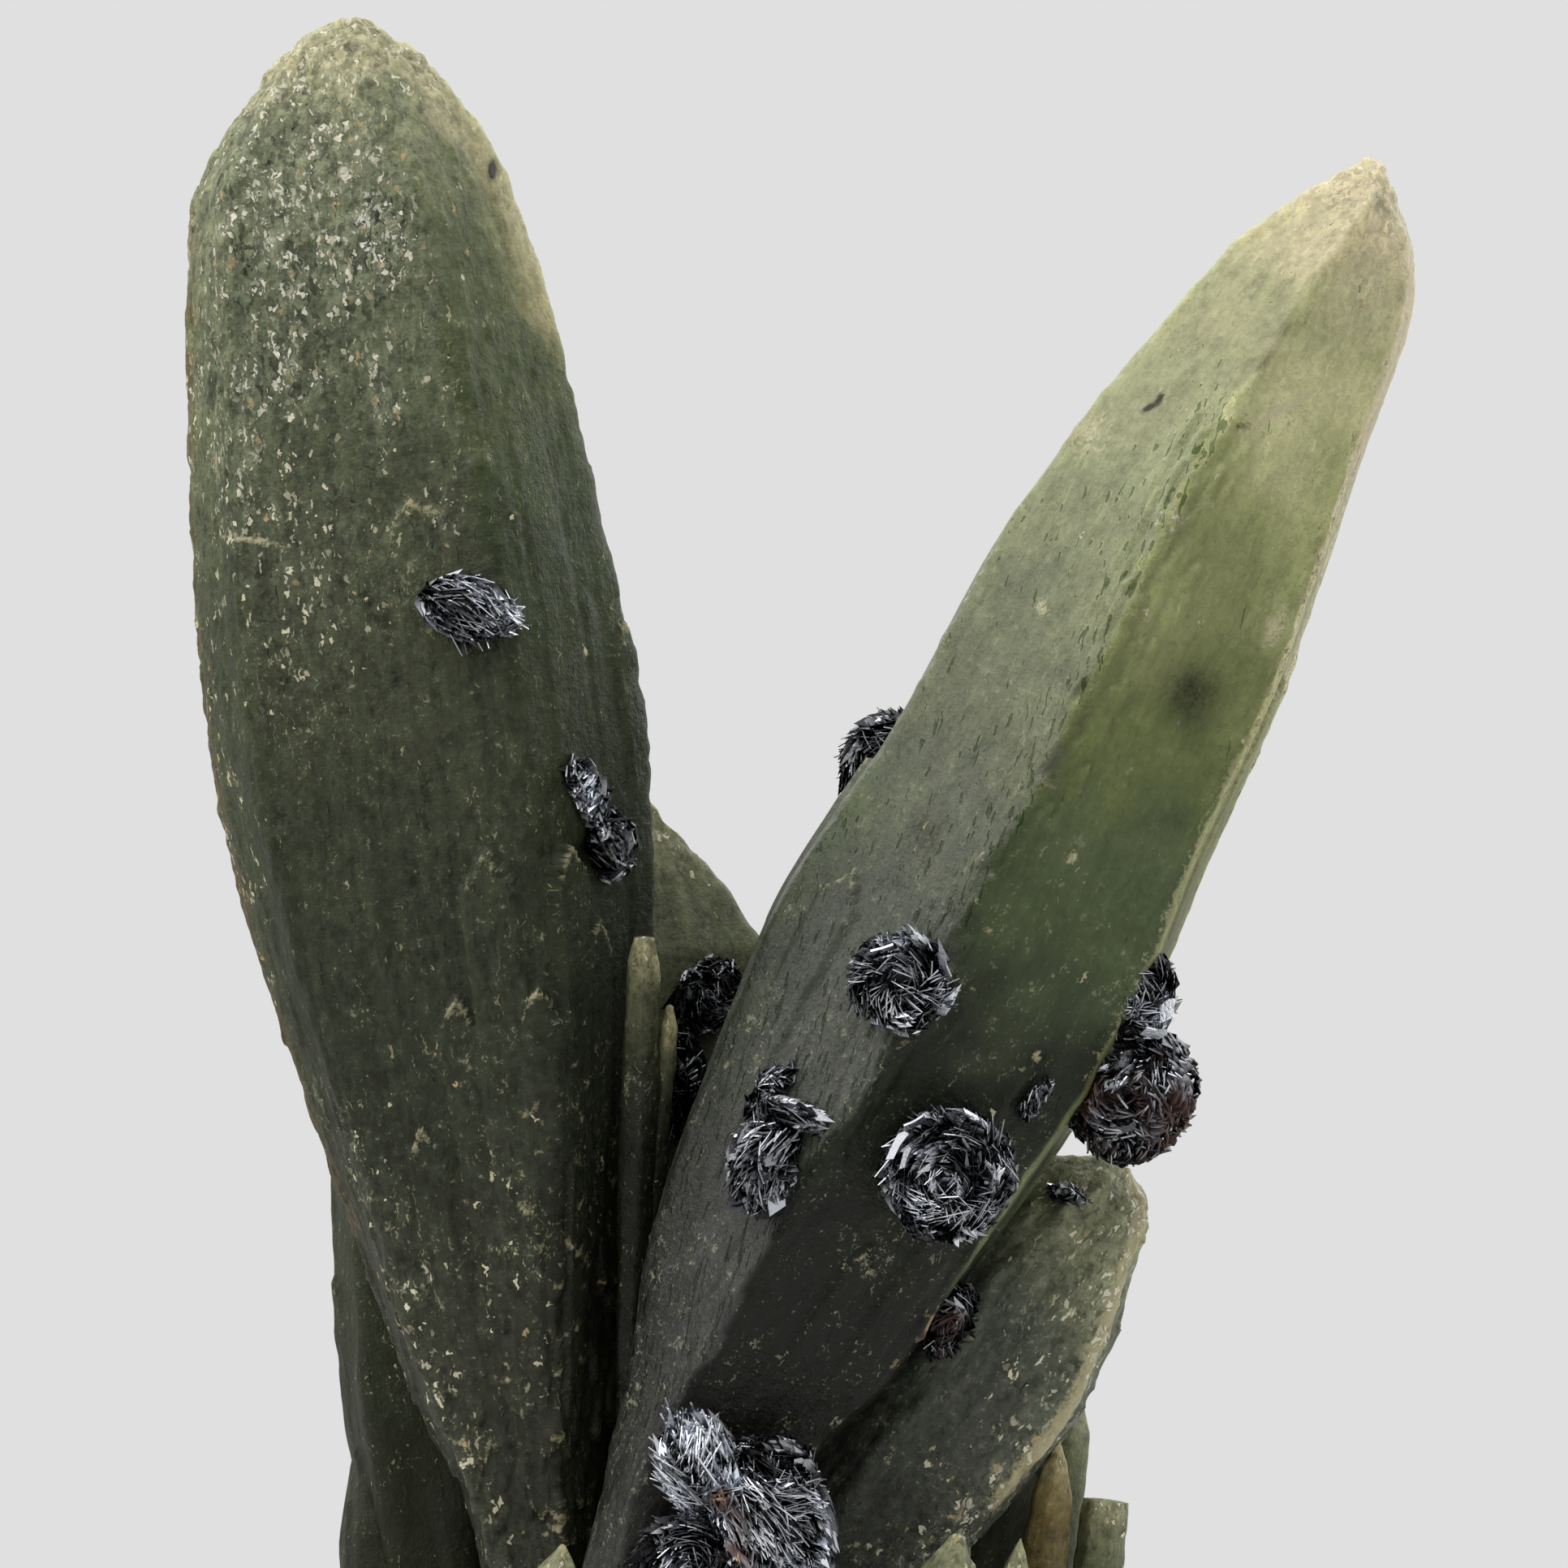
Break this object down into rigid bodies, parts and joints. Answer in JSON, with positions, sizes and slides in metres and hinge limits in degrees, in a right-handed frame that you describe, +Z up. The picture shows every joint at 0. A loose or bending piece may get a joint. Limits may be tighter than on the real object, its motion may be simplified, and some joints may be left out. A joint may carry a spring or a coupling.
{
  "type": "prase quartz crystal cluster",
  "caption": "Spreading cluster of leek-green prase quartz: a broad blade and a leaning prism over shorter crystals, dotted with black hematite roses, cut flat below.",
  "frame": {"origin": "middle of the flat cut that the cluster rests on", "axes": "+Z up, +X to the right and +Y away as seen from the front, which shows the broad blade on the left and the prism leaning to the right"},
  "size_m": [0.0631, 0.038, 0.0935],
  "materials": {
    "prase": "natural crystal faces, cloudy leek green, satin to rough, paler at the tips",
    "hematite": "natural thin plates in dense rosettes, near black with a bright metallic lustre"
  },
  "bodies": {
    "root": {"prase_crystals": "prase", "rose_on_blade": "hematite", "rose_on_blade_edge": "hematite", "rose_behind_prism": "hematite", "rose_on_prism_ridge": "hematite", "rose_on_prism_flank": "hematite", "rose_on_prism_face": "hematite", "rose_on_prism_edge": "hematite", "rose_in_valley": "hematite", "rose_at_foot": "hematite", "rose_under_prism": "hematite", "rose_on_paddle_tip": "hematite", "rose_on_prism_small": "hematite", "rose_on_blade_back": "hematite", "rose_on_back_left": "hematite", "rose_on_back_right": "hematite", "rose_at_back_foot": "hematite"}
  },
  "joints": []
}
